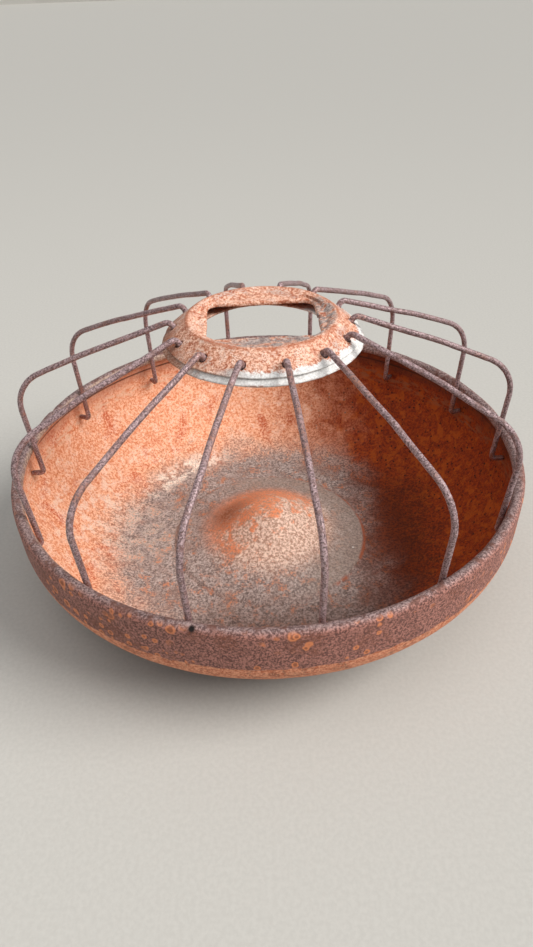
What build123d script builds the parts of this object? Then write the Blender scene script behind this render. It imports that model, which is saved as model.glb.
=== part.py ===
from build123d import *
import os
from math import cos, radians, sin, sqrt, tan

# Round steel feeding pan for poultry, with a wire guard that turns inside its rim.
# Millimetres. +Z is up. The origin is on the ground, on the pan's centre line.

# ---- driving dimensions: the pan -------------------------------------------------
PAN_RADIUS = 178.0        # outside of the rolled rim, a 14 inch pan
SHEET = 1.2               # pressed steel sheet
BEAD_CENTRE_Z = 89.3      # middle of the rolled rim
BEAD_OUTER = 3.7          # radius of the rolled rim's section
WALL_FOOT_Z = 70.0        # the upright wall ends here and turns under
SHOULDER_RADIUS = 39.0    # bend from the wall into the body, on the sheet's middle
BODY_SLOPE = 53.4         # steepest slope of the body, degrees from level
BODY_RADIUS = 84.4        # long bend from the body into the floor, on the sheet's middle
HEM_THICKNESS = 1.2       # edge of the rolled sheet, lying against the wall
HEM_LAP = 0.6             # the hem sinks this far into the wall, so the fold is one piece
HEM_CORNER = 0.55
HEM_FOOT_Z = 80.2

RING_RADIUS = 74.6        # outer edge of the low step round the cone
RING_STEP_Z = 3.0         # height of the step, on the sheet's middle
RING_STEP_HALF = 1.5      # half the width over which the step falls
RING_STEP_BEND = 2.5
CONE_FOOT = (50.0, 6.4)   # corner where the gentle ring would meet the steep cone
CONE_FOOT_BEND = 70.0     # the ring sweeps up into the cone
CONE_SLOPE = 32.0         # degrees from level
CONE_NOSE_RADIUS = 36.0   # blunt tip

# ---- driving dimensions: the guard -----------------------------------------------
WIRE = 3.8                # 9 gauge wire
WIRE_COUNT = 14
GUARD_TURN = 0.0          # rest position of the guard about the centre line, degrees
HOLE_RADIUS = 57.0        # circle of the wire holes in the cap
HOLE_DIAMETER = 5.0
TRAPPED_RADIUS = 47.5     # inner ends of the wires, held between cap and plate
TRAPPED_Z = 180.6
ARCH_Z = 187.0            # corner of the arch over the cap
RUN_MID = (120.0, 164.6)  # slight bend in the long straight run
SHOULDER = (171.6, 142.4) # corner of the wire's shoulder, over the rim
FOOT_CORNER = (166.9, 68.6)
FOOT_TIP_RADIUS = 176.0
TRAP_BEND = 2.2
ARCH_BEND = 4.0
RUN_BEND = 160.0
SHOULDER_BEND = 30.0
FOOT_BEND = 3.2
# Each foot stands a little round from its own hole, in degrees, as the wires have
# been bent in use. The first is the wire just right of the front, and the rest
# follow anticlockwise, seen from above.
FOOT_LEAN = (-4.0, -4.0, -2.5, 0.5, -2.0, -2.0, -2.0, -2.0, -2.5, -2.0, -1.0, 1.5, 0.0, -2.5)

# ---- driving dimensions: the hub -------------------------------------------------
CAP_EDGE = (62.7, 176.9)  # radius and height of the cap's edge, on the sheet's middle
RIDGE_OUTER = (47.9, 188.75)  # outer corner of the raised ridge, top of the conical flange
RIDGE_INNER = (44.4, 187.7)
DISH_EDGE = (40.5, 185.6) # the cap is level from here in to the opening
RIDGE_OUTER_BEND = 3.0
RIDGE_INNER_BEND = 3.0
DISH_BEND = 3.0
OPENING_LENGTH = 71.0
OPENING_WIDTH = 53.0
OPENING_CORNER = 8.0
OPENING_TURN = 2.0        # degrees
SECTION_OVERRUN = 6.0     # the turned section runs in past the opening, which is then cut
LIP_DEPTH = 2.4           # the edge of the opening is turned down this far
PLATE_EDGE = (65.0, 172.9)
PLATE_SLOPE = 38.8        # the plate's edge slopes as the cap's flange does, degrees from level
PLATE_Z = 178.0           # level part of the clamp plate
PLATE_BEND = 3.0
PLATE_HOLE = 42.5         # radius of the plate's own round hole, clear of the opening's corners
NICK_RADIUS = 2.0         # small nick in the middle of each short side
CUT_LOW = 165.0           # heights between which the hub's holes are cut
CUT_HIGH = 200.0


def save(solid, node):
    """Write one named sub-part."""
    solid.label = node
    export_step(solid, f"parts/{node}.step")


def section_path(points, bends):
    """Straight runs joined by tangent arcs, drawn flat with X the radius and Y the height."""
    return FilletPolyline(*points, radius=bends)


def thick_section(path):
    """Face of sheet thickness along a flat path."""
    return trace(path, line_width=SHEET)


def turned(section):
    """Solid of revolution about Z of a flat section."""
    return revolve(Plane.XZ * section, axis=Axis.Z, revolution_arc=360)


# ---- pan -------------------------------------------------------------------------
def pan_section():
    """Closed half section of the pan: cone, ring, floor, body, wall and rolled rim."""
    floor_z = SHEET / 2
    wall_radius = PAN_RADIUS - SHEET / 2
    bead_radius = PAN_RADIUS - BEAD_OUTER
    slope = radians(BODY_SLOPE)
    # The shoulder arc turns from upright to the body's slope.
    shoulder_end = (wall_radius - SHOULDER_RADIUS * (1 - sin(slope)),
                    WALL_FOOT_Z - SHOULDER_RADIUS * cos(slope))
    # Corner where the body's straight slope, carried on, would meet the floor.
    body_foot = (shoulder_end[0] - (shoulder_end[1] - floor_z) / tan(slope), floor_z)
    # Corner where it would meet the upright wall.
    wall_corner_z = shoulder_end[1] + (wall_radius - shoulder_end[0]) * tan(slope)
    cone_foot, foot_z = CONE_FOOT
    cone_point_z = foot_z + cone_foot * tan(radians(CONE_SLOPE))
    points = [(-cone_foot, foot_z),
              (0, cone_point_z),
              CONE_FOOT,
              (RING_RADIUS - RING_STEP_HALF, RING_STEP_Z),
              (RING_RADIUS + RING_STEP_HALF, floor_z),
              body_foot,
              (wall_radius, wall_corner_z),
              (wall_radius, BEAD_CENTRE_Z)]
    bends = [CONE_NOSE_RADIUS, CONE_FOOT_BEND, RING_STEP_BEND, RING_STEP_BEND,
             BODY_RADIUS, SHOULDER_RADIUS]
    sheet = thick_section(section_path(points, bends))
    # The path starts on the far side of the centre line, and that side is cut away.
    sheet -= Pos(-PAN_RADIUS, 0) * Rectangle(2 * PAN_RADIUS, 2 * PAN_RADIUS)
    bead_place = Pos(bead_radius, BEAD_CENTRE_Z)
    bead = bead_place * Circle(BEAD_OUTER)
    hem_height = BEAD_CENTRE_Z - HEM_FOOT_Z
    hem_radius = PAN_RADIUS - SHEET - HEM_THICKNESS / 2
    hem = Pos(hem_radius + HEM_LAP / 2, HEM_FOOT_Z + hem_height / 2) \
        * RectangleRounded(HEM_THICKNESS + HEM_LAP, hem_height, HEM_CORNER)
    hollow = bead_place * Circle(BEAD_OUTER - SHEET)
    return sheet + bead + hem - hollow


def make_pan():
    return turned(pan_section())


def make_rim_wire():
    """Wire that the rim is rolled round."""
    return turned(Pos(PAN_RADIUS - BEAD_OUTER, BEAD_CENTRE_Z) * Circle(BEAD_OUTER - SHEET))


# ---- hub -------------------------------------------------------------------------
def opening_outline(grow):
    """Rounded rectangle of the hub's opening, grown outward on every side."""
    outline = RectangleRounded(OPENING_LENGTH + 2 * grow, OPENING_WIDTH + 2 * grow,
                               OPENING_CORNER + grow)
    return Rot(0, 0, OPENING_TURN) * outline


def opening_block(grow, low, high):
    return Pos(0, 0, low) * extrude(opening_outline(grow), high - low)


def cutter(radius):
    """Upright round bar that cuts a hole through the hub."""
    return extrude(Circle(radius), CUT_HIGH - CUT_LOW)


def hole_angles():
    return [GUARD_TURN + (index + 0.5) * 360 / WIRE_COUNT for index in range(WIRE_COUNT)]


def spoke(angle):
    """Placement that turns the XZ plane to a wire's own direction; 0 is the front."""
    return Rot(0, 0, angle - 90)


def cap_section():
    inner_end = (OPENING_WIDTH / 2 - SECTION_OVERRUN, DISH_EDGE[1])
    points = [CAP_EDGE, RIDGE_OUTER, RIDGE_INNER, DISH_EDGE, inner_end]
    return thick_section(section_path(points, [RIDGE_OUTER_BEND, RIDGE_INNER_BEND, DISH_BEND]))


def make_cap():
    """Upper stamping of the hub: a conical flange, a raised ridge and a lipped opening."""
    cap = turned(cap_section())
    dish_z = DISH_EDGE[1]
    cap += opening_block(SHEET, dish_z + SHEET / 2 - LIP_DEPTH, dish_z)
    cap -= opening_block(0, CUT_LOW, CUT_HIGH)
    for side in (-1, 1):
        cap -= Rot(0, 0, OPENING_TURN) * Pos(side * OPENING_LENGTH / 2, 0, CUT_LOW) * cutter(NICK_RADIUS)
    for angle in hole_angles():
        cap -= spoke(angle) * Pos(HOLE_RADIUS, 0, CUT_LOW) * cutter(HOLE_DIAMETER / 2)
    return cap


def make_plate():
    """Lower stamping of the hub, fixed up under the cap with the wires' ends between them."""
    edge_radius, edge_z = PLATE_EDGE
    corner_radius = edge_radius - (PLATE_Z - edge_z) / tan(radians(PLATE_SLOPE))
    points = [PLATE_EDGE, (corner_radius, PLATE_Z), (PLATE_HOLE, PLATE_Z)]
    return turned(thick_section(section_path(points, [PLATE_BEND])))


# ---- guard wires -----------------------------------------------------------------
def wire_path(lean):
    """Centre line of one wire in the XZ plane, hooked at the hub and at the foot."""
    reach = FOOT_CORNER[0] - HOLE_RADIUS
    # A leaning wire reaches the same circle of feet, so its run is a little longer.
    stretch = sqrt(reach ** 2 + HOLE_RADIUS * FOOT_CORNER[0] * radians(lean) ** 2) - reach
    points = [(TRAPPED_RADIUS, TRAPPED_Z),
              (HOLE_RADIUS, TRAPPED_Z),
              (HOLE_RADIUS, ARCH_Z),
              RUN_MID,
              (SHOULDER[0] + stretch, SHOULDER[1]),
              (FOOT_CORNER[0] + stretch, FOOT_CORNER[1]),
              (FOOT_TIP_RADIUS + stretch, FOOT_CORNER[1])]
    bends = [TRAP_BEND, ARCH_BEND, RUN_BEND, SHOULDER_BEND, FOOT_BEND]
    return Plane.XZ * section_path(points, bends)


def make_wire(angle, lean):
    path = wire_path(lean)
    start = Plane(origin=path @ 0, z_dir=path % 0)
    wire = sweep(start * Circle(WIRE / 2), path=path)
    # Seen from the hole, the foot's step round the pan is a larger turn.
    turn = lean * FOOT_CORNER[0] / (FOOT_CORNER[0] - HOLE_RADIUS)
    swing = Pos(HOLE_RADIUS, 0, 0) * Rot(0, 0, turn) * Pos(-HOLE_RADIUS, 0, 0)
    return spoke(angle) * swing * wire


os.makedirs("parts", exist_ok=True)
save(make_pan(), "pan")
save(make_rim_wire(), "rim_wire")
save(make_cap(), "hub_cap")
save(make_plate(), "hub_clamp_plate")
for index, (angle, lean) in enumerate(zip(hole_angles(), FOOT_LEAN)):
    save(make_wire(angle, lean), f"guard_wire_{index + 1:02d}")
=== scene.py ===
import math
import bpy
import numpy as np
from mathutils import Matrix, Vector, noise


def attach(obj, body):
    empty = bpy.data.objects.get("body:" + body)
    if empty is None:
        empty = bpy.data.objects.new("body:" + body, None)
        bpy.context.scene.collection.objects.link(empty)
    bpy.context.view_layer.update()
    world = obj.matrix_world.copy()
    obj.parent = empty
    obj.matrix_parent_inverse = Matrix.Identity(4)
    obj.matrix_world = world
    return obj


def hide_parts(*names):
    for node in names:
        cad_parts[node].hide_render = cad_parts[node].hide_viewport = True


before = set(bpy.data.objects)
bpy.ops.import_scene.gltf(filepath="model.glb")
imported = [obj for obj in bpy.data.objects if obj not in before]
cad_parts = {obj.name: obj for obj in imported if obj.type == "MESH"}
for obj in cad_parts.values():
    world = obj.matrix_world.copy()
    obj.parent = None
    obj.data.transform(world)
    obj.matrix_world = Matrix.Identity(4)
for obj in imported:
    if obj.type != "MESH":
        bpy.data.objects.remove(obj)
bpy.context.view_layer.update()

MM = 0.001
TINY = 1e-9

# ---- sizes of the object, in millimetres as on its drawing ------------------------
SHEET = 1.2
PAN_RADIUS = 178.0
BEAD_CENTRE_Z = 89.3
BEAD_OUTER = 3.7
HEM_FOOT_Z = 80.2
WALL_FOOT_Z = 70.0
SHOULDER_RADIUS = 39.0
BODY_SLOPE = math.radians(53.4)
BODY_RADIUS = 84.4
RING_RADIUS = 74.6
RING_STEP_Z = 3.0
RING_STEP_HALF = 1.5
RING_STEP_BEND = 2.5
CONE_FOOT = (50.0, 6.4)
CONE_FOOT_BEND = 70.0
CONE_SLOPE = math.radians(32.0)
CONE_NOSE_RADIUS = 36.0

WIRE = 3.8
WIRE_COUNT = 14
GUARD_TURN = 0.0
HOLE_RADIUS = 57.0
HOLE_DIAMETER = 5.0
TRAPPED_RADIUS = 47.5
TRAPPED_Z = 180.6
ARCH_Z = 187.0
RUN_MID = (120.0, 164.6)
SHOULDER = (171.6, 142.4)
FOOT_CORNER = (166.9, 68.6)
FOOT_TIP_RADIUS = 176.0
WIRE_BENDS = (2.2, 4.0, 160.0, 30.0, 3.2)    # at the trapped end, arch, run, shoulder and foot
FOOT_LEAN = (-4.0, -4.0, -2.5, 0.5, -2.0, -2.0, -2.0, -2.0, -2.5, -2.0, -1.0, 1.5, 0.0, -2.5)

OPENING_LENGTH = 71.0
OPENING_WIDTH = 54.4      # worn a little wider and sharper than the drawing's 53, with corners of 8
OPENING_CORNER = 7.0
OPENING_TURN = math.radians(2.0)
NICK_RADIUS = 2.0
LIP_DEPTH = 2.4
DISH_Z = 185.6
DISH_LIFT = 0.2           # the worn dish stands this far over its drawing
CAP_CORNERS = ((62.7, 176.9), (47.9, 188.75), (44.4, 187.7), (37.0, DISH_Z + DISH_LIFT))
CAP_BENDS = (3.0, 3.0, 6.0, 0.8)             # at the ridge's outer and inner corners, dish and lip
PLATE_Z = 178.0
PLATE_EDGE = (65.0, 172.9)
PLATE_CORNER = (58.7, PLATE_Z)
PLATE_BEND = 3.0
PLATE_HOLE = 42.5


# ---- paths and meshes --------------------------------------------------------------
def rounded(points, bends, step):
    """Straight runs joined by tangent arcs, as points about one step apart."""
    corners = [np.array(p, float) for p in points]
    line = [corners[0]]
    for i, bend in enumerate(bends, start=1):
        before = corners[i - 1] - corners[i]
        after = corners[i + 1] - corners[i]
        before = before / np.linalg.norm(before)
        after = after / np.linalg.norm(after)
        half = math.acos(np.clip(before @ after, -1, 1)) / 2
        middle = before + after
        centre = corners[i] + middle / np.linalg.norm(middle) * bend / math.sin(half)
        start = corners[i] + before * bend / math.tan(half) - centre
        end = corners[i] + after * bend / math.tan(half) - centre
        sweep = math.pi - 2 * half
        count = max(3, int(sweep * bend / step) + 1)
        for k in range(count + 1):
            t = k / count
            arm = (math.sin((1 - t) * sweep) * start + math.sin(t * sweep) * end) / math.sin(sweep)
            line.append(centre + arm)
    line.append(corners[-1])
    return evened(np.array(line), step)


def evened(line, step):
    """Long runs cut up, so that no two points are more than a step apart."""
    out = [line[0]]
    for a, b in zip(line, line[1:]):
        count = max(1, int(math.ceil(np.linalg.norm(b - a) / step)))
        out += [a + (b - a) * k / count for k in range(1, count + 1)]
    return np.array(out)


def shifted(line, distance):
    """The line moved sideways, to the left of its direction."""
    ahead = np.gradient(line, axis=0)
    ahead /= np.linalg.norm(ahead, axis=1)[:, None]
    return line + distance * np.stack([-ahead[:, 1], ahead[:, 0]], axis=1)


SEED_STEP = (7.3, 3.1, 5.7)
ROUGHNESS = 0.9
FINER = 2.0               # each octave's features are this many times smaller
FULL_RANGE = 1.3          # brings the noise up to about -1 to 1


def ripple(point, size, seed, octaves=3):
    """Smooth noise from about -1 to 1, with features of that size in millimetres."""
    place = Vector(point) / size + Vector([seed * step for step in SEED_STEP])
    return noise.fractal(place, ROUGHNESS, FINER, octaves) * FULL_RANGE


def wave(kind, point, seed, octaves=3):
    """Noise of a kind given as (height, size of its features), in millimetres."""
    height, size = kind
    return height * ripple(point, size, seed, octaves)


def build(name, points, faces, attributes=None):
    """A smooth mesh object from points in millimetres."""
    mesh = bpy.data.meshes.new(name)
    mesh.from_pydata((np.array(points) * MM).tolist(), [], faces)
    for key, values in (attributes or {}).items():
        layer = mesh.attributes.new(key, "FLOAT", "POINT")
        layer.data.foreach_set("value", np.array(values, np.float32))
    mesh.validate()
    mesh.shade_smooth()
    piece = bpy.data.objects.new(name, mesh)
    bpy.context.scene.collection.objects.link(piece)
    return piece


def around(columns, rows, closed):
    """Quads of a grid that closes round its columns, and along its rows when asked."""
    faces = []
    for i in range(rows if closed else rows - 1):
        for j in range(columns):
            a, b = i * columns + j, i * columns + (j + 1) % columns
            c, d = (i + 1) % rows * columns + (j + 1) % columns, (i + 1) % rows * columns + j
            faces.append((a, d, c, b))
    return faces


# ---- pan ---------------------------------------------------------------------------
PAN_COLUMNS = 480
PAN_STEP = 2.0            # spacing of the outline's points
BEAD_POINTS = 26
BEAD_SKIP = 0.02          # the bead's outline starts this far past the hem, in radians
HEM_ROUND = 0.5           # how far the hem's edge is rounded
MEET_GAP = 0.5            # gap left where two stretches of the outline meet
TIP_RISE = 0.05           # the centre point stands this far over the ring round it


def pan_profile():
    """Outline of the pan's half section, from the cone's tip over the rim to below the tip.

    Gives radius, height and side: -1 inside the pan, 1 outside, and between on the rim."""
    floor_z = SHEET / 2
    wall = PAN_RADIUS - SHEET / 2
    shoulder_r = wall - SHOULDER_RADIUS * (1 - math.sin(BODY_SLOPE))
    shoulder_z = WALL_FOOT_Z - SHOULDER_RADIUS * math.cos(BODY_SLOPE)
    body_foot = (shoulder_r - (shoulder_z - floor_z) / math.tan(BODY_SLOPE), floor_z)
    wall_corner = (wall, shoulder_z + (wall - shoulder_r) * math.tan(BODY_SLOPE))
    tip_z = CONE_FOOT[1] + CONE_FOOT[0] * math.tan(CONE_SLOPE)
    middle = rounded([(-CONE_FOOT[0], CONE_FOOT[1]), (0, tip_z), CONE_FOOT,
                      (RING_RADIUS - RING_STEP_HALF, RING_STEP_Z),
                      (RING_RADIUS + RING_STEP_HALF, floor_z),
                      body_foot, wall_corner, (wall, BEAD_CENTRE_Z)],
                     [CONE_NOSE_RADIUS, CONE_FOOT_BEND, RING_STEP_BEND, RING_STEP_BEND,
                      BODY_RADIUS, SHOULDER_RADIUS], PAN_STEP)
    middle = middle[middle[:, 0] > MEET_GAP]
    inside = shifted(middle, SHEET / 2)
    outside = shifted(middle, -SHEET / 2)[::-1]
    inside = inside[inside[:, 1] < HEM_FOOT_Z - 1.2 * HEM_ROUND]
    hem_r = PAN_RADIUS - 2 * SHEET
    bead_r = PAN_RADIUS - BEAD_OUTER
    wall_r = PAN_RADIUS - SHEET
    crease = [(wall_r, HEM_FOOT_Z - HEM_ROUND),
              (wall_r - 0.3 * HEM_ROUND, HEM_FOOT_Z),
              (hem_r + 0.7 * HEM_ROUND, HEM_FOOT_Z + 0.2 * HEM_ROUND),
              (hem_r, HEM_FOOT_Z + HEM_ROUND),
              (hem_r, HEM_FOOT_Z + 5 * HEM_ROUND)]
    meet = -math.acos((hem_r - bead_r) / BEAD_OUTER)
    turns = np.linspace(meet - BEAD_SKIP, -2 * math.pi, BEAD_POINTS)
    bead = [(bead_r + BEAD_OUTER * math.cos(t), BEAD_CENTRE_Z + BEAD_OUTER * math.sin(t)) for t in turns]
    outside = outside[outside[:, 1] < BEAD_CENTRE_Z - MEET_GAP]
    tip = [(0.0, inside[0, 1] + TIP_RISE)]
    under = [(0.0, outside[-1, 1] + TIP_RISE)]
    line = np.array(tip + inside.tolist() + crease + bead + outside.tolist() + under)
    before, after = 1 + len(inside) + len(crease), len(outside) + 1
    side = np.concatenate([-np.ones(before), np.linspace(-1, 1, len(bead)), np.ones(after)])
    return line, side


# Dents in the rolled rim: angle round the pan, depth in millimetres, half width in radians.
RIM_DENTS = ((math.radians(162), 1.5, 0.012), (math.radians(169), 0.7, 0.03),
             (math.radians(222), 0.6, 0.05), (math.radians(318), 0.5, 0.04))


# Relief of the worn steel, each kind as (height, size of its features).
SIDE_SWAY = (0.18, 90)
SIDE_WAVE = (0.06, 12)
FLOOR_SWELL = (0.35, 45)
FLOOR_DIMPLE = (0.12, 14)
BEAD_LUMP_OUT = (0.09, 6)
BEAD_SWAY_UP = (0.5, 60)
BEAD_LUMP_UP = (0.14, 7)
SIDE_FROM = 40.0          # the side's own relief comes in from this height, over as much again
FLAT_BELOW = 3.0          # the underside stays flat on the ground up to here


def pan_relief(x, y, z, angle, side):
    """How far the worn pan stands off its true shape, outward and upward, in millimetres."""
    here, level = (x, y, z), (x, y, 0)
    rim = max(0.0, min(1.0, (z - SIDE_FROM) / SIDE_FROM))
    flat = max(0.0, 1 - z / FLAT_BELOW) if side > 0 else 0.0
    out = rim * (wave(SIDE_SWAY, here, 1) + wave(SIDE_WAVE, here, 2))
    up = (1 - flat) * (1 - rim) * (wave(FLOOR_SWELL, level, 3) + wave(FLOOR_DIMPLE, level, 4))
    if abs(side) < 1:
        # The rolled rim is lumpy, and one place in it has split and been knocked in.
        out += wave(BEAD_LUMP_OUT, here, 5)
        up += wave(BEAD_SWAY_UP, level, 6) * rim + wave(BEAD_LUMP_UP, here, 7)
        for place, depth, width in RIM_DENTS:
            away = (angle - place + math.pi) % (2 * math.pi) - math.pi
            up -= depth * math.exp(-(away / width) ** 2)
    return out, up


def make_pan():
    line, side = pan_profile()
    points, sides = [], []
    for (r, z), s in zip(line, side):
        for j in range(PAN_COLUMNS):
            angle = 2 * math.pi * j / PAN_COLUMNS
            x, y = r * math.cos(angle), r * math.sin(angle)
            out, up = pan_relief(x, y, z, angle, s)
            points.append((x + out * math.cos(angle), y + out * math.sin(angle), max(0.0, z + up)))
            sides.append(s)
    rows = len(line)
    faces = around(PAN_COLUMNS, rows, False)
    # The first and last rows lie on the centre line, so each is welded to one point.
    last = (rows - 1) * PAN_COLUMNS
    welded = [tuple(0 if v < PAN_COLUMNS else last if v >= last else v for v in face) for face in faces]
    welded = [tuple(dict.fromkeys(face)) for face in welded]
    used = sorted(set(v for face in welded for v in face))
    index = {v: k for k, v in enumerate(used)}
    pan = build("pan_shell", [points[v] for v in used], [tuple(index[v] for v in face) for face in welded],
                {"side": [sides[v] for v in used]})
    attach(pan, "pan")
    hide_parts("pan")
    return pan


# ---- hub ---------------------------------------------------------------------------
HUB_COLUMNS = 560
HUB_ROUND_FROM = 44.0     # outside this radius the hub's rings are circles
HUB_BLEND = 10.0          # width, on the drawing, of the change from circle to opening
HUB_FLAT = 3.4            # width of the level strip along the opening
HUB_STEP = 0.8            # spacing of a stamping's points
HUB_SWELL = (0.30, 30)    # relief, as for the pan
HUB_DIMPLE = (0.09, 6)
HUB_EDGE_WEAR = (0.25, 10)
HUB_EDGES = (33.5, 58.0)  # between these the stamping is worn less
HUB_MIDDLE_WEAR = 0.3
NICK_FADE = 6.0           # the nick is gone this far from the opening
SHORT_SIDE = 0.9          # cosine of the direction within which the short sides lie
HOLE_SIDES = 24
HOLE_LOW, HOLE_HIGH = 170.0, 200.0
CAP_SEED, PLATE_SEED = 11, 21


def opening_radius(angle, grow):
    """Distance from the centre to the opening's outline, grown outward, in one direction."""
    turned = angle - OPENING_TURN
    c, s = abs(math.cos(turned)), abs(math.sin(turned))
    half_x, half_y = OPENING_LENGTH / 2 + grow, OPENING_WIDTH / 2 + grow
    corner = OPENING_CORNER + grow
    reach = min(half_x / max(c, TINY), half_y / max(s, TINY))
    cx, cy = half_x - corner, half_y - corner
    if reach * c > cx and reach * s > cy:
        along = cx * c + cy * s
        reach = along + math.sqrt(max(0.0, along ** 2 - cx ** 2 - cy ** 2 + corner ** 2))
    across = abs(reach * math.sin(turned))
    if c > SHORT_SIDE and across < NICK_RADIUS:
        reach += math.sqrt(NICK_RADIUS ** 2 - across ** 2) * max(0.0, 1 - grow / NICK_FADE)
    return reach


def hub_point(angle, u):
    """Radius at one angle of the drawing's coordinate u: circles outside, the opening inside."""
    inner_u = HUB_ROUND_FROM - HUB_BLEND
    if u >= HUB_ROUND_FROM:
        return u
    if u <= inner_u:
        return opening_radius(angle, HUB_FLAT - (inner_u - u))
    t = (HUB_ROUND_FROM - u) / HUB_BLEND
    return HUB_ROUND_FROM * (1 - t) + opening_radius(angle, HUB_FLAT) * t


def ring_point(angle, u):
    """The same for a stamping whose own hole is round, so that u is the radius everywhere."""
    return u


def stamped_ring(name, points, bends, seed, place):
    """A sheet stamping, from its mid line of (u, height) points and a rule that places each u."""
    middle = rounded(points, bends, HUB_STEP)
    upper = shifted(middle, -SHEET / 2)
    lower = shifted(middle, SHEET / 2)[::-1]
    loop = np.concatenate([upper, [middle[-1] * 2 - (upper[-1] + lower[0]) / 2], lower])
    mesh_points = []
    for u, z in loop:
        for j in range(HUB_COLUMNS):
            angle = 2 * math.pi * j / HUB_COLUMNS
            r = place(angle, u)
            x, y = r * math.cos(angle), r * math.sin(angle)
            lift = wave(HUB_SWELL, (x, y, 0), seed) + wave(HUB_DIMPLE, (x, y, z), seed + 1)
            worn = HUB_MIDDLE_WEAR if HUB_EDGES[0] <= u <= HUB_EDGES[1] else 1
            edge = wave(HUB_EDGE_WEAR, (x, y, z), seed + 2) * worn
            mesh_points.append((x + edge * math.cos(angle), y + edge * math.sin(angle), z + lift))
    return build(name, mesh_points, around(HUB_COLUMNS, len(loop), True))


def hole_angles():
    return [math.radians(GUARD_TURN + (i + 0.5) * 360 / WIRE_COUNT - 90) for i in range(WIRE_COUNT)]


def punch(piece):
    """Cuts the wire holes through the cap."""
    points, faces = [], []
    sides = HOLE_SIDES
    for angle in hole_angles():
        base = len(points)
        for z in (HOLE_LOW, HOLE_HIGH):
            for k in range(sides):
                t = 2 * math.pi * k / sides
                points.append((HOLE_RADIUS * math.cos(angle) + HOLE_DIAMETER / 2 * math.cos(t),
                               HOLE_RADIUS * math.sin(angle) + HOLE_DIAMETER / 2 * math.sin(t), z))
        for k in range(sides):
            n = (k + 1) % sides
            faces.append((base + k, base + n, base + sides + n, base + sides + k))
        faces.append(tuple(base + k for k in reversed(range(sides))))
        faces.append(tuple(base + sides + k for k in range(sides)))
    cutter = build("hole_cutter", points, faces)
    cut = piece.modifiers.new("holes", "BOOLEAN")
    cut.operation = "DIFFERENCE"
    cut.solver = "EXACT"
    cut.object = cutter
    bpy.context.view_layer.objects.active = piece
    bpy.ops.object.modifier_apply(modifier=cut.name)
    bpy.data.objects.remove(cutter)


def make_cap():
    """Upper stamping: conical flange, ridge, level dish and the lip turned down into the hub."""
    lip_u = HUB_ROUND_FROM - HUB_BLEND - HUB_FLAT + SHEET / 2
    lip = [(lip_u, DISH_Z + DISH_LIFT), (lip_u, DISH_Z + SHEET / 2 - LIP_DEPTH)]
    cap = stamped_ring("cap_stamping", list(CAP_CORNERS) + lip, CAP_BENDS, CAP_SEED, hub_point)
    punch(cap)
    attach(cap, "guard")
    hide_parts("hub_cap")
    return cap


def make_plate():
    """Lower stamping, fixed up under the cap with the wires' ends between them."""
    plate = stamped_ring("clamp_plate_stamping", [PLATE_EDGE, PLATE_CORNER, (PLATE_HOLE, PLATE_Z)],
                         [PLATE_BEND], PLATE_SEED, ring_point)
    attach(plate, "guard")
    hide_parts("hub_clamp_plate")
    return plate


# ---- guard wires -------------------------------------------------------------------
WIRE_SIDES = 20
WIRE_STEP = 1.0           # spacing of a wire's points
WIRES_APART = 50.0        # keeps the wires' bends from being alike
PITS_APART = 30.0
WIRE_SWAY = (0.9, 70)     # bends of use, sideways and up
WIRE_HEAVE = (0.7, 60)
WIRE_LUMP = (0.035, 4.0)  # pitting, as a share of the wire's radius
WIRE_PIT = (0.02, 1.3)
WIRE_END = 0.82           # a wire's cut ends are this much thinner
BENT_FROM = 60.0          # a wire is bent from this radius out, over this length, above this height
BENT_LENGTH = 105.0
BENT_ABOVE = 100.0


def wire_line(lean):
    """Centre line of one wire in its own plane, as radius and height."""
    reach = FOOT_CORNER[0] - HOLE_RADIUS
    stretch = math.sqrt(reach ** 2 + HOLE_RADIUS * FOOT_CORNER[0] * math.radians(lean) ** 2) - reach
    return rounded([(TRAPPED_RADIUS, TRAPPED_Z), (HOLE_RADIUS, TRAPPED_Z), (HOLE_RADIUS, ARCH_Z), RUN_MID,
                    (SHOULDER[0] + stretch, SHOULDER[1]),
                    (FOOT_CORNER[0] + stretch, FOOT_CORNER[1]),
                    (FOOT_TIP_RADIUS + stretch, FOOT_CORNER[1])], WIRE_BENDS, WIRE_STEP)


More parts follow.
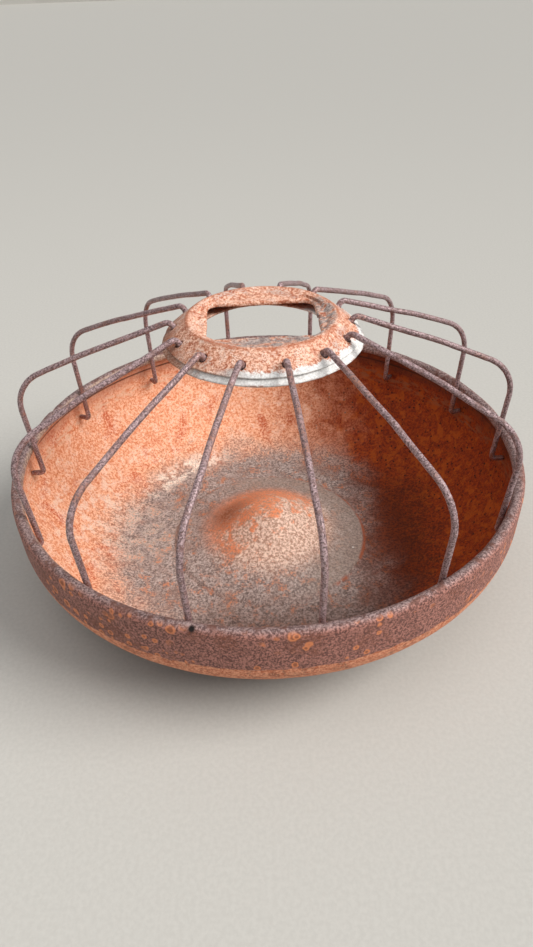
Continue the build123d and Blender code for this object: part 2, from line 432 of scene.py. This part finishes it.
def make_wire(number, angle, lean):
    """One guard wire, rolled and pitted, hooked under the cap and behind the rim."""
    line = wire_line(lean)
    turn = math.radians(lean) * FOOT_CORNER[0] / (FOOT_CORNER[0] - HOLE_RADIUS)
    swing = Matrix.Rotation(angle, 4, "Z") @ Matrix.Translation((HOLE_RADIUS, 0, 0)) \
        @ Matrix.Rotation(turn, 4, "Z") @ Matrix.Translation((-HOLE_RADIUS, 0, 0))
    ahead = np.gradient(line, axis=0)
    ahead /= np.linalg.norm(ahead, axis=1)[:, None]
    length = len(line)
    points, faces = [], []
    for i, ((r, z), (dr, dz)) in enumerate(zip(line, ahead)):
        # Slight bends of use, none at the hub or where the foot stands in the pan.
        along = min(1.0, max(0.0, (r - BENT_FROM) / BENT_LENGTH))
        free = math.sin(math.pi * along) if z > BENT_ABOVE else 0.0
        sway = free * wave(WIRE_SWAY, (i * WIRE_STEP, number * WIRES_APART, 0), 31, 2)
        heave = free * wave(WIRE_HEAVE, (i * WIRE_STEP, number * WIRES_APART, 9), 32, 2)
        radius = WIRE / 2 * (WIRE_END if i in (0, length - 1) else 1.0)
        for k in range(WIRE_SIDES):
            t = 2 * math.pi * k / WIRE_SIDES
            across, outward = radius * math.cos(t), radius * math.sin(t)
            spot = (r - dz * outward, across + number * PITS_APART, z + dr * outward)
            rough = 1 + wave(WIRE_LUMP, spot, 33) + wave(WIRE_PIT, spot, 34, 2)
            across, outward = across * rough + sway, outward * rough + heave
            points.append(tuple(swing @ Vector((r - dz * outward, across, z + dr * outward))))
    for i in range(length - 1):
        for k in range(WIRE_SIDES):
            n = (k + 1) % WIRE_SIDES
            a, b = i * WIRE_SIDES + k, i * WIRE_SIDES + n
            faces.append((a, b, b + WIRE_SIDES, a + WIRE_SIDES))
    faces.append(tuple(reversed(range(WIRE_SIDES))))
    faces.append(tuple(range((length - 1) * WIRE_SIDES, length * WIRE_SIDES)))
    wire = build(f"wire_{number:02d}", points, faces)
    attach(wire, "guard")
    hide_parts(f"guard_wire_{number:02d}")
    return wire


# ---- materials ---------------------------------------------------------------------
def colour(red, green, blue):
    """A screen colour from 0 to 255 as the linear colour that a shader takes."""
    parts = [v / 255 for v in (red, green, blue)]
    return tuple(v / 12.92 if v <= 0.04045 else ((v + 0.055) / 1.055) ** 2.4 for v in parts) + (1.0,)


class Surface:
    """A node material being wired up. Each method adds a node and gives its output."""

    def __init__(self, name):
        self.material = bpy.data.materials.new(name)
        self.material.use_nodes = True
        self.nodes = self.material.node_tree.nodes
        self.links = self.material.node_tree.links
        self.nodes.clear()
        self.shader = self.nodes.new("ShaderNodeBsdfPrincipled")
        end = self.nodes.new("ShaderNodeOutputMaterial")
        self.links.new(self.shader.outputs["BSDF"], end.inputs["Surface"])
        self.place = self.nodes.new("ShaderNodeTexCoord").outputs["Object"]
        apart = self.nodes.new("ShaderNodeSeparateXYZ")
        self.links.new(self.place, apart.inputs[0])
        self.x, self.y, self.z = apart.outputs

    def put(self, socket, value):
        if isinstance(value, bpy.types.NodeSocket):
            self.links.new(value, socket)
        else:
            socket.default_value = value

    def math(self, operation, first, second=0.0):
        node = self.nodes.new("ShaderNodeMath")
        node.operation = operation
        self.put(node.inputs[0], first)
        self.put(node.inputs[1], second)
        return node.outputs[0]

    def both(self, first, second):
        return self.math("MULTIPLY", first, second)

    def either(self, first, second):
        return self.math("MAXIMUM", first, second)

    def plus(self, first, second):
        return self.math("ADD", first, second)

    def radius(self):
        """Distance from the centre line, in metres."""
        node = self.nodes.new("ShaderNodeVectorMath")
        node.operation = "MULTIPLY"
        self.put(node.inputs[0], self.place)
        node.inputs[1].default_value = (1, 1, 0)
        long = self.nodes.new("ShaderNodeVectorMath")
        long.operation = "LENGTH"
        self.links.new(node.outputs[0], long.inputs[0])
        return long.outputs["Value"]

    def noise(self, size, detail=4.0, rough=0.6, distort=0.0, stretch=None):
        """Noise whose features are about that many millimetres across."""
        node = self.nodes.new("ShaderNodeTexNoise")
        node.inputs["Scale"].default_value = 1 / (size * MM)
        node.inputs["Detail"].default_value = detail
        node.inputs["Roughness"].default_value = rough
        node.inputs["Distortion"].default_value = distort
        where = self.place
        if stretch:
            scaled = self.nodes.new("ShaderNodeVectorMath")
            scaled.operation = "MULTIPLY"
            self.links.new(self.place, scaled.inputs[0])
            scaled.inputs[1].default_value = stretch
            where = scaled.outputs[0]
        self.links.new(where, node.inputs["Vector"])
        return node.outputs["Fac"]

    def step(self, value, low, high):
        """0 below low, 1 above high, and a smooth rise between; high below low turns it round."""
        node = self.nodes.new("ShaderNodeMapRange")
        node.interpolation_type = "SMOOTHSTEP"
        turned = low > high
        self.put(node.inputs["Value"], value)
        node.inputs["From Min"].default_value = high if turned else low
        node.inputs["From Max"].default_value = low if turned else high
        node.inputs["To Min"].default_value = 1.0 if turned else 0.0
        node.inputs["To Max"].default_value = 0.0 if turned else 1.0
        return node.outputs["Result"]

    def band(self, value, low, high, soft):
        """1 between low and high, fading over soft on each side."""
        return self.both(self.step(value, low - soft, low + soft), self.step(value, high + soft, high - soft))

    def blend(self, factor, first, second):
        node = self.nodes.new("ShaderNodeMix")
        node.data_type = "RGBA"
        self.put(node.inputs[0], factor)
        self.put(node.inputs[6], first)
        self.put(node.inputs[7], second)
        return node.outputs[2]

    def speckled(self, value, width, first, second):
        """Two colours mixed by a noise, with a change of that width about its middle."""
        return self.blend(self.step(value, 0.5 - width / 2, 0.5 + width / 2), first, second)

    def wander(self, value, noise, amount):
        """The value pushed to and fro by a noise, to make an edge wavy."""
        return self.plus(value, self.both(self.plus(noise, -0.5), amount))

    def cells(self, size):
        """Cells about that many millimetres across: distance from the middle, and a random value each."""
        node = self.nodes.new("ShaderNodeTexVoronoi")
        node.inputs["Scale"].default_value = 1 / (size * MM)
        self.links.new(self.place, node.inputs["Vector"])
        apart = self.nodes.new("ShaderNodeSeparateColor")
        self.links.new(node.outputs["Color"], apart.inputs[0])
        return node.outputs["Distance"], apart.outputs[0]

    def specks(self, size, share, spread=0.32):
        """Round specks in a share of cells of that size."""
        away, chance = self.cells(size)
        return self.both(self.step(away, spread, spread * 0.6), self.step(chance, share + 0.01, share - 0.01))

    def near(self, point, reach, soft=0.6):
        """1 near a point given in millimetres, fading out at that reach."""
        node = self.nodes.new("ShaderNodeVectorMath")
        node.operation = "DISTANCE"
        self.links.new(self.place, node.inputs[0])
        node.inputs[1].default_value = [v * MM for v in point]
        return self.step(node.outputs["Value"], reach * MM, reach * MM * (1 - soft))

    def attribute(self, name):
        node = self.nodes.new("ShaderNodeAttribute")
        node.attribute_name = name
        return node.outputs["Fac"]

    def finish(self, base, rough, heights, metallic=0.0, specular=0.5):
        """Sets colour, roughness and a stack of bumps given as (height, depth in millimetres)."""
        self.put(self.shader.inputs["Base Color"], base)
        self.put(self.shader.inputs["Roughness"], rough)
        self.put(self.shader.inputs["Metallic"], metallic)
        self.shader.inputs["Specular IOR Level"].default_value = specular
        normal = None
        for height, depth in heights:
            node = self.nodes.new("ShaderNodeBump")
            node.inputs["Distance"].default_value = depth * MM
            self.links.new(height, node.inputs["Height"])
            if normal:
                self.links.new(normal, node.inputs["Normal"])
            normal = node.outputs["Normal"]
        self.links.new(normal, self.shader.inputs["Normal"])
        return self.material


# Where the pan's colours change. Pairs are in metres, in the order that the change goes.
WEAR_EDGE = (0.104, 0.148)       # radius: worn floor to the wall's rust
WEAR_LEAN = 0.07                 # how much further out that lies at the front
RIGHT_WALL_SHADE = (-0.01, 0.10)       # X: towards the right, where the wall turns a deep brown orange that is partly rust and partly painted shade
# X: towards the right, where the right wall's painted shadow lies on the floor.
RIGHT_WALL_SHADOW_X = (0.045, 0.105)
FRONT_SHADE_Y = (-0.050, -0.105)    # Y: towards the front, where painted shade darkens the floor
# X: the painted front shade fades out towards the left.
FRONT_SHADE_X = (-0.090, -0.030)
CONE_TOP = (0.060, 0.036)        # radius: inwards
RING_INNER = (0.046, 0.062)
RING_OUTER = (0.0755, 0.0740)
RING_LINE = (0.0745, 0.0765)
SCUFF_STREAK = (0.106, 0.124)
STREAKS = (0.060, 0.070)         # height
UNDER_HEM_SHADE = (0.068, 0.077)
HEM_CREASE_SHADOW = (0.0785, 0.0803)
COLLAR_FOOT = (0.0652, 0.0638)
BASE_FROM = (0.050, 0.030)
# Single marks, as places in millimetres.
SCUFF_BEHIND = (-78, 86, 20)
SCUFF_FRONT = (-66, -132, 38)
SCUFF_LEFT = (-118, 10, 24)
# The cone's left flank, where a patch of painted shade lies.
CONE_LEFT_SHADE = (-34, 10, 18)
RIM_PIT_SHADE = (-42, -171, 92)


def pan_wall(s):
    """Inside wall and body: salmon rust with paler bloom and redder spots; on the right a deep brown orange,
    partly rust and partly painted shade with painted bounce light from the lit wall.
    """
    wall = s.speckled(s.grain, 0.14, colour(222, 128, 80), colour(255, 202, 168))
    bloom = s.both(s.step(s.blotch, 0.5, 0.64), s.step(s.dust, 0.44, 0.58))
    wall = s.blend(bloom, wall, colour(254, 222, 200))
    wall = s.blend(s.both(s.step(s.patch, 0.52, 0.7), s.step(s.grain, 0.6, 0.44)), wall, colour(204, 88, 40))
    wall = s.blend(s.both(s.step(s.fine, 0.59, 0.65), 0.75), wall, colour(164, 78, 46))
    shaded_deep_rust = s.speckled(s.grain, 0.16, colour(116, 34, 0), colour(172, 68, 4))
    shaded_deep_rust = s.blend(s.both(s.step(s.blotch, 0.48, 0.62), 0.7), shaded_deep_rust, colour(188, 88, 12))
    shaded_deep_rust = s.blend(s.specks(3.4, 0.3), shaded_deep_rust, colour(66, 22, 2))
    # Painted shade: the wall on the right, facing away from the light, takes the deep brown orange copy.
    right = s.step(s.wander(s.x, s.patch, 0.12), *RIGHT_WALL_SHADE)
    return s.blend(right, wall, shaded_deep_rust)


def pan_floor(s):
    """Floor: grey brown, worn, with orange specks, with painted shade darker in front and a brown painted
    shadow of the right wall on the right.
    """
    floor = s.speckled(s.grain, 0.18, colour(116, 98, 92), colour(202, 184, 176))
    floor = s.blend(s.both(s.step(s.patch, 0.45, 0.7), 0.6), floor, colour(146, 116, 104))
    specks = s.both(s.step(s.blotch, 0.50, 0.62), s.step(s.grain, 0.46, 0.58))
    floor = s.blend(specks, floor, colour(206, 126, 82))
    floor = s.blend(s.both(s.step(s.fine, 0.55, 0.62), 0.85), floor, colour(80, 58, 50))
    crumbs = s.both(s.step(s.dust, 0.60, 0.68), s.step(s.patch, 0.35, 0.55))
    floor = s.blend(crumbs, floor, colour(214, 176, 152))
    # Painted shadow: the floor on the right is painted brown as if in the right wall's shadow.
    brown = s.speckled(s.grain, 0.18, colour(74, 22, 0), colour(124, 48, 2))
    right_wall_shadow = s.step(s.wander(s.x, s.patch, 0.05), *RIGHT_WALL_SHADOW_X)
    floor = s.blend(right_wall_shadow, floor, brown)
    # Painted shade: the floor darkens towards the front, under the front wall, except on the left.
    shade_umber = s.speckled(s.grain, 0.16, colour(62, 40, 32), colour(116, 84, 74))
    front_shade = s.step(s.wander(s.y, s.patch, 0.05), *FRONT_SHADE_Y)
    front_shade = s.both(front_shade, s.step(s.x, *FRONT_SHADE_X))
    return s.blend(s.both(front_shade, 0.75), floor, shade_umber)


def pan_inside(s):
    """Floor and wall, meeting along a ragged edge that lies further out at the front."""
    ragged = s.wander(s.wander(s.r, s.patch, 0.050), s.grain, 0.060)
    edge = s.step(s.plus(ragged, s.both(s.y, WEAR_LEAN)), *WEAR_EDGE)
    return s.blend(edge, pan_floor(s), pan_wall(s))


def pan_scuffs(s, inside):
    """Pale scuffs: a streak behind on the left, one by the front rim and a faint one on the left."""
    scuff = s.both(s.band(s.r, *SCUFF_STREAK, 0.005), s.near(SCUFF_BEHIND, 60, 0.5))
    scuff = s.either(scuff, s.near(SCUFF_FRONT, 26))
    scuff = s.either(scuff, s.both(s.near(SCUFF_LEFT, 70), 0.4))
    scuff = s.both(s.both(scuff, s.step(s.blotch, 0.46, 0.56)), s.step(s.fine, 0.42, 0.52))
    return s.blend(scuff, inside, colour(252, 236, 220))


def pan_cone(s, inside):
    """Cone, pale on top, tinted orange behind and on the left by rust and painted shade, with a patch of
    painted shade on its left flank, swept down into the worn ring round it.
    """
    cone = s.speckled(s.grain, 0.14, colour(172, 128, 106), colour(246, 214, 194))
    # Partly rust, partly painted shade: the flank behind and on the left, away from the light, is tinted
    # orange.
    rust = s.step(s.plus(s.blotch, s.both(s.plus(s.both(s.x, -0.7), s.y), 4.0)), 0.42, 0.56)
    cone = s.blend(s.both(rust, s.step(s.grain, 0.38, 0.56)), cone, colour(238, 140, 88))
    # Painted shade: a dark orange brown patch on the cone's left flank.
    left_flank_shade = s.both(s.near(CONE_LEFT_SHADE, 24, 0.9), s.step(s.grain, 0.34, 0.62))
    cone = s.blend(left_flank_shade, cone, colour(128, 68, 38))
    cone = s.blend(s.both(s.step(s.dust, 0.58, 0.66), 0.6), cone, colour(244, 220, 204))
    cone = s.blend(s.both(s.step(s.fine, 0.57, 0.64), 0.7), cone, colour(120, 76, 58))
    top = s.step(s.wander(s.r, s.blotch, 0.02), *CONE_TOP)
    inside = s.blend(top, inside, cone)
    ring = s.speckled(s.grain, 0.24, colour(132, 114, 104), colour(180, 160, 148))
    behind_right = s.step(s.plus(s.x, s.both(s.y, 0.55)), -0.030, 0.030)
    ring_place = s.both(s.both(s.step(s.r, *RING_INNER), s.step(s.r, *RING_OUTER)), behind_right)
    inside = s.blend(s.both(ring_place, 0.8), inside, ring)
    line = s.both(s.both(s.band(s.r, *RING_LINE, 0.0012), behind_right), s.step(s.blotch, 0.40, 0.56))
    return s.blend(s.both(line, 0.75), inside, colour(170, 84, 46))


def pan_band(s, inside):
    """Band below the rim, streaked by the wires' feet, with painted shade under the hem and a painted shadow
    line along its crease, streaks and shade in a lit pale copy on the left and a shaded dark copy on the
    right, and a few white flecks.
    """
    streak = s.noise(10, 4, 0.6, 0.0, (1, 1, 3.5))
    # Painted light and shade: a lit pale copy of each colour on the left and a shaded dark copy on the right.
    lit_left = s.step(s.x, 0.04, -0.04)
    streaks = s.both(s.band(s.z, *STREAKS, 0.003), s.step(streak, 0.44, 0.60))
    inside = s.blend(s.both(streaks, 0.8), inside,
                     s.blend(lit_left, colour(150, 92, 60), colour(238, 196, 166)))
    # Painted shade under the hem.
    inside = s.blend(s.both(s.step(s.z, *UNDER_HEM_SHADE), 0.6), inside,
                     s.blend(lit_left, colour(96, 52, 36), colour(186, 128, 104)))
    # Painted shadow: a dark line along the crease under the hem.
    inside = s.blend(s.both(s.band(s.z, *HEM_CREASE_SHADOW, 0.0008), 0.8), inside, colour(62, 38, 30))
    return s.blend(s.specks(16, 0.02, 0.07), inside, colour(244, 240, 232))


def pan_rim(s):
    """Rolled rim: grey lilac, crusted and pitted, paler behind on the left."""
    rim = s.speckled(s.fine, 0.16, colour(108, 84, 82), colour(186, 160, 156))
    rim = s.blend(s.both(s.step(s.blotch, 0.5, 0.64), 0.8), rim, colour(124, 82, 70))
    rim = s.blend(s.both(s.step(s.dust, 0.57, 0.65), 0.8), rim, colour(60, 42, 42))
    crust = s.speckled(s.grain, 0.16, colour(150, 120, 104), colour(218, 196, 178))
    behind_left = s.step(s.plus(s.both(s.x, -1.0), s.both(s.y, 0.5)), 0.03, 0.12)
    crusted = s.both(s.both(behind_left, s.step(s.side, 0.2, -0.1)), s.step(s.blotch, 0.36, 0.54))
    rim = s.blend(crusted, rim, crust)
    return s.blend(s.both(s.step(s.grain, 0.62, 0.70), 0.8), rim, colour(196, 150, 126))


def pan_outside(s):
    """Outside: a dark purple brown collar with orange rust rings, and beneath it a lighter salmon strip of
    rust, its lighter tone painted light bounced up from the floor.
    """
    collar = s.speckled(s.fine, 0.14, colour(100, 64, 58), colour(186, 128, 114))
    tint = s.both(s.step(s.patch, 0.5, 0.66), s.step(s.grain, 0.4, 0.6))
    collar = s.blend(tint, collar, colour(132, 80, 62))
    collar = s.blend(s.both(s.step(s.dust, 0.57, 0.65), 0.8), collar, colour(56, 36, 36))
    for size, share, gap in ((8.0, 0.34, 0.46), (5.4, 0.30, 0.42)):
        away, chance = s.cells(size)
        away = s.wander(s.wander(away, s.grain, 0.25), s.blotch, 0.35)
        chosen = s.both(s.step(chance, share + 0.02, share), s.step(s.broad, gap, gap + 0.08))
        collar = s.blend(s.both(s.both(chosen, s.step(away, 0.42, 0.32)), 0.9), collar, colour(222, 136, 90))
        collar = s.blend(s.both(chosen, s.both(s.step(away, 0.24, 0.16), 0.8)), collar, colour(136, 78, 56))
    # Partly rust, partly painted light: the underside curve below the collar is painted lighter as if lit
    # from the floor.
    floor_bounce_strip = s.speckled(s.grain, 0.16, colour(190, 100, 62), colour(236, 168, 132))
    stain = s.both(s.step(s.blotch, 0.52, 0.66), s.step(s.dust, 0.4, 0.6))
    floor_bounce_strip = s.blend(stain, floor_bounce_strip, colour(128, 78, 58))
    low = s.step(s.wander(s.z, s.blotch, 0.006), *COLLAR_FOOT)
    outside = s.blend(low, collar, floor_bounce_strip)
    base = s.speckled(s.grain, 0.28, colour(118, 76, 56), colour(168, 116, 88))
    return s.blend(s.step(s.z, *BASE_FROM), outside, base)


def pan_material():
    """Pan steel: salmon and orange rust inside with painted shade and shadows, grey worn floor, dark pitted
    rim with a painted pit shadow, and dark collar with painted bounce light beneath it.
    """
    s = Surface("pan_rust")
    s.side, s.r = s.attribute("side"), s.radius()
    s.patch, s.blotch = s.noise(28, 5, 0.6, 0.6), s.noise(9, 5, 0.65, 0.4)
    s.grain, s.dust = s.noise(1.9, 6, 0.8), s.noise(0.9, 3, 0.8)
    s.fine, s.broad = s.noise(1.3, 4, 0.8), s.noise(60, 3, 0.5, 0.3)
    inside = pan_band(s, pan_cone(s, pan_scuffs(s, pan_inside(s))))
    whole = s.blend(s.step(s.side, -0.98, -0.90), inside, pan_rim(s))
    whole = s.blend(s.step(s.side, 0.35, 0.9), whole, pan_outside(s))
    # Painted shade: a dark spot standing for the shade inside a small pit in the front of the rim.
    whole = s.blend(s.near(RIM_PIT_SHADE, 2.6), whole, colour(26, 16, 14))
    metal = s.both(s.band(s.side, -0.9, 0.7, 0.15), 0.35)
    rough = s.plus(s.both(s.grain, 0.35), s.plus(0.5, s.both(metal, -0.4)))
    pits = s.both(s.step(s.dust, 0.5, 0.66), -1.0)
    return s.finish(whole, rough, [(s.blotch, 0.5), (s.grain, 0.28), (pits, 0.10)], metal, 0.35)


# Where the hub's colours change, in metres as for the pan.
DISH_SLOPE = (0.026, 0.047)
RIDGE_LINE = (0.0475, 0.0495)
ZINC_FROM = (0.0590, 0.0612)
BROWN_FROM = (0.055, 0.062)
PLATE_LINE = (0.0650, 0.0700)
CAP_UNDER = (0.1772, 0.1768)


def hub_material(name, plate):
    """Hub stampings: salmon rust over zinc, which is left pale at the front and right edges; the pale lit
    front and right and the brown left are partly painted light and shade.
    """
    s = Surface(name)
    r = s.radius()
    patch, blotch = s.noise(22, 4, 0.6, 0.5), s.noise(6.5, 5, 0.65, 0.4)
    grain, dust = s.noise(1.6, 6, 0.8), s.noise(0.8, 3, 0.8)
    fine = s.noise(1.1, 4, 0.8)
    rust = s.speckled(grain, 0.14, colour(186, 106, 70), colour(252, 206, 180))
    rust = s.blend(s.both(s.step(blotch, 0.5, 0.62), s.step(dust, 0.44, 0.56)), rust, colour(250, 220, 202))
    rust = s.blend(s.both(s.step(blotch, 0.48, 0.36), s.step(grain, 0.6, 0.44)), rust, colour(170, 86, 52))
    rust = s.blend(s.both(s.step(fine, 0.58, 0.66), 0.8), rust, colour(132, 76, 54))
    grey = s.speckled(grain, 0.16, colour(112, 94, 92), colour(196, 178, 170))
    zinc = s.speckled(grain, 0.24, colour(204, 202, 200), colour(246, 245, 242))
    zinc = s.blend(s.both(s.step(fine, 0.60, 0.68), 0.5), zinc, colour(166, 146, 134))
    # How far towards the right front, where the light comes from.
    towards_light = s.plus(s.both(s.x, 0.8), s.both(s.y, -0.75))
    if plate:
        # The rim is brown on the left and rear and clean zinc elsewhere: partly rust and zinc, partly painted
        # shade on the left and rear and painted light on the front and right.
        worn = s.step(s.wander(towards_light, blotch, 0.05), -0.012, 0.014)
        skin = s.blend(worn, s.blend(0.45, rust, colour(120, 84, 66)), zinc)
        skin = s.blend(s.both(s.band(r, *PLATE_LINE, 0.0006), s.step(blotch, 0.5, 0.6)), skin,
                       colour(150, 92, 66))
    else:
        skin = s.blend(s.both(s.both(s.step(patch, 0.52, 0.64), s.step(grain, 0.42, 0.6)), 0.8), rust, grey)
        # The front of the dish is greyer, and its inner slope on the right is painted greyer and darker as
        # shade, facing away from the light.
        grey_and_shaded_slope = s.both(s.band(r, *DISH_SLOPE, 0.002), s.step(towards_light, -0.005, 0.022))
        skin = s.blend(s.both(grey_and_shaded_slope, s.step(blotch, 0.40, 0.56)), skin, grey)
        ridge = s.both(s.band(r, *RIDGE_LINE, 0.0009), s.step(patch, 0.40, 0.5))
        skin = s.blend(s.both(ridge, 0.7), skin, colour(172, 94, 58))
        # Zinc shows along the edge of the flange, painted only on the front and right, partly as painted
        # light.
        ragged = s.wander(s.wander(r, blotch, 0.008), grain, 0.008)
        edge = s.both(s.step(ragged, *ZINC_FROM), s.step(towards_light, 0.012, 0.040))
        skin = s.blend(edge, skin, zinc)
        # Partly rust, partly painted shade: the flange's edge is brown on the left, away from the light.
        brown = s.both(s.step(ragged, *BROWN_FROM), s.step(towards_light, 0.0, -0.03))
        skin = s.blend(s.both(brown, 0.7), skin, colour(142, 78, 48))
        under = s.step(s.z, *CAP_UNDER)
        skin = s.blend(s.both(under, 0.4), skin, colour(128, 84, 62))
    pits = s.both(s.step(dust, 0.54, 0.68), -1.0)
    rough = s.plus(s.both(grain, 0.3), 0.45)
    return s.finish(skin, rough, [(blotch, 0.25), (grain, 0.20), (pits, 0.08)], 0.0, 0.4)


def wire_material():
    """Guard wires: dark purple brown steel, pitted, with a dull sheen and rust tints."""
    s = Surface("wire_rust")
    patch, blotch = s.noise(26, 4, 0.6), s.noise(5, 4, 0.65)
    grain, dust = s.noise(1.1, 5, 0.8), s.noise(0.6, 3, 0.8)
    skin = s.speckled(grain, 0.14, colour(100, 76, 76), colour(196, 168, 170))
    skin = s.blend(s.both(s.step(blotch, 0.5, 0.64), 0.6), skin, colour(124, 84, 74))
    skin = s.blend(s.both(s.step(patch, 0.54, 0.68), s.step(grain, 0.44, 0.60)), skin, colour(176, 116, 88))
    foot = s.both(s.step(s.z, 0.098, 0.072), s.step(blotch, 0.42, 0.6))
    skin = s.blend(s.both(foot, 0.7), skin, colour(146, 84, 58))
    skin = s.blend(s.both(s.step(dust, 0.56, 0.66), 0.8), skin, colour(54, 40, 40))
    pits = s.both(s.step(dust, 0.50, 0.66), -1.0)
    rough = s.plus(s.both(grain, 0.3), 0.28)
    metal = s.both(s.step(blotch, 0.62, 0.42), 0.3)
    return s.finish(skin, rough, [(blotch, 0.10), (grain, 0.14), (pits, 0.10)], metal, 0.6)


# ---- object ------------------------------------------------------------------------
pan = make_pan()
pan.data.materials.append(pan_material())
cap = make_cap()
cap.data.materials.clear()
cap.data.materials.append(hub_material("cap_rust", False))
plate = make_plate()
plate.data.materials.append(hub_material("plate_zinc", True))
wire_steel = wire_material()
for number, (angle, lean) in enumerate(zip(hole_angles(), FOOT_LEAN), start=1):
    make_wire(number, angle, lean).data.materials.append(wire_steel)
rim_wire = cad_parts["rim_wire"]
rim_wire.data.materials.clear()
rim_wire.data.materials.append(wire_steel)

# ---- stage, light and camera -------------------------------------------------------
PICTURE_HEIGHT = 947      # in pixels
SENSOR = 36.0
FLOOR_RADIUS = 25.0       # metres, as everything on the stage
WALL_TOP = 3.0
FLOOR_SIDES = 96


def make_floor():
    """A pale floor with a low wall round its far edge, which fills the top of the picture."""
    sides = FLOOR_SIDES
    turns = np.linspace(0, 2 * math.pi, sides, endpoint=False)
    ring = [(FLOOR_RADIUS * math.cos(t), FLOOR_RADIUS * math.sin(t)) for t in turns]
    points = [(x, y, z) for z in (0.0, WALL_TOP) for x, y in ring]
    mesh = bpy.data.meshes.new("floor")
    mesh.from_pydata(points, [], [tuple(range(sides))] + around(sides, 2, False))
    floor = bpy.data.objects.new("floor", mesh)
    bpy.context.scene.collection.objects.link(floor)
    s = Surface("pale_floor")
    weave = s.noise(2.5, 3, 0.6)
    skin = s.blend(s.step(weave, 0.3, 0.7), colour(190, 188, 182), colour(196, 194, 188))
    floor.data.materials.append(s.finish(skin, 0.9, [(weave, 0.05)], 0.0, 0.2))


def make_light(name, place, target, width, height, power, tint):
    data = bpy.data.lights.new(name, "AREA")
    data.shape = "RECTANGLE"
    data.size, data.size_y = width, height
    data.energy = power
    data.color = tint
    light = bpy.data.objects.new(name, data)
    bpy.context.scene.collection.objects.link(light)
    aim = (Vector(target) - Vector(place)).to_track_quat("-Z", "Y")
    light.matrix_world = Matrix.Translation(place) @ aim.to_matrix().to_4x4()


def make_sun(name, towards, power, spread, tint):
    """A soft, even light from a direction, as from a tall window."""
    data = bpy.data.lights.new(name, "SUN")
    data.energy = power
    data.angle = math.radians(spread)
    data.color = tint
    light = bpy.data.objects.new(name, data)
    bpy.context.scene.collection.objects.link(light)
    light.matrix_world = Vector(towards).to_track_quat("Z", "Y").to_matrix().to_4x4()


def make_world(level):
    world = bpy.data.worlds.new("studio")
    bpy.context.scene.world = world
    world.use_nodes = True
    ground = world.node_tree.nodes["Background"]
    ground.inputs["Color"].default_value = (0.95, 0.97, 1.0, 1.0)
    ground.inputs["Strength"].default_value = level


def make_camera(place, yaw, pitch, roll, focal):
    """A camera from its place, turn, downward tilt, roll and focal length in pixels."""
    ahead = Vector((math.sin(yaw) * math.cos(pitch), math.cos(yaw) * math.cos(pitch), -math.sin(pitch)))
    right = Vector((math.cos(yaw), -math.sin(yaw), 0))
    up = right.cross(ahead)
    level_right = right.copy()
    right = math.cos(roll) * level_right + math.sin(roll) * up
    up = math.cos(roll) * up - math.sin(roll) * level_right
    data = bpy.data.cameras.new("camera")
    data.sensor_width = SENSOR
    data.lens = data.sensor_width * focal / PICTURE_HEIGHT
    data.clip_start = 0.01
    camera = bpy.data.objects.new("camera", data)
    bpy.context.scene.collection.objects.link(camera)
    turn = Matrix((right, up, -ahead)).transposed()
    camera.matrix_world = Matrix.Translation(place) @ turn.to_4x4()
    bpy.context.scene.camera = camera


make_floor()
make_sun("window", towards=(0.90, -0.22, 0.80), power=3.3, spread=36, tint=(1.0, 0.975, 0.945))
make_light("ceiling", place=(-0.15, -0.5, 1.5), target=(0, 0, 0.05), width=1.2, height=1.2,
           power=6.0, tint=(1.0, 0.99, 0.98))
make_world(level=0.34)
make_camera(place=(-0.0005, -0.3962, 0.3587), yaw=-0.0007, pitch=0.6418, roll=-0.0352, focal=659.3)
bpy.context.scene.view_settings.view_transform = "Standard"
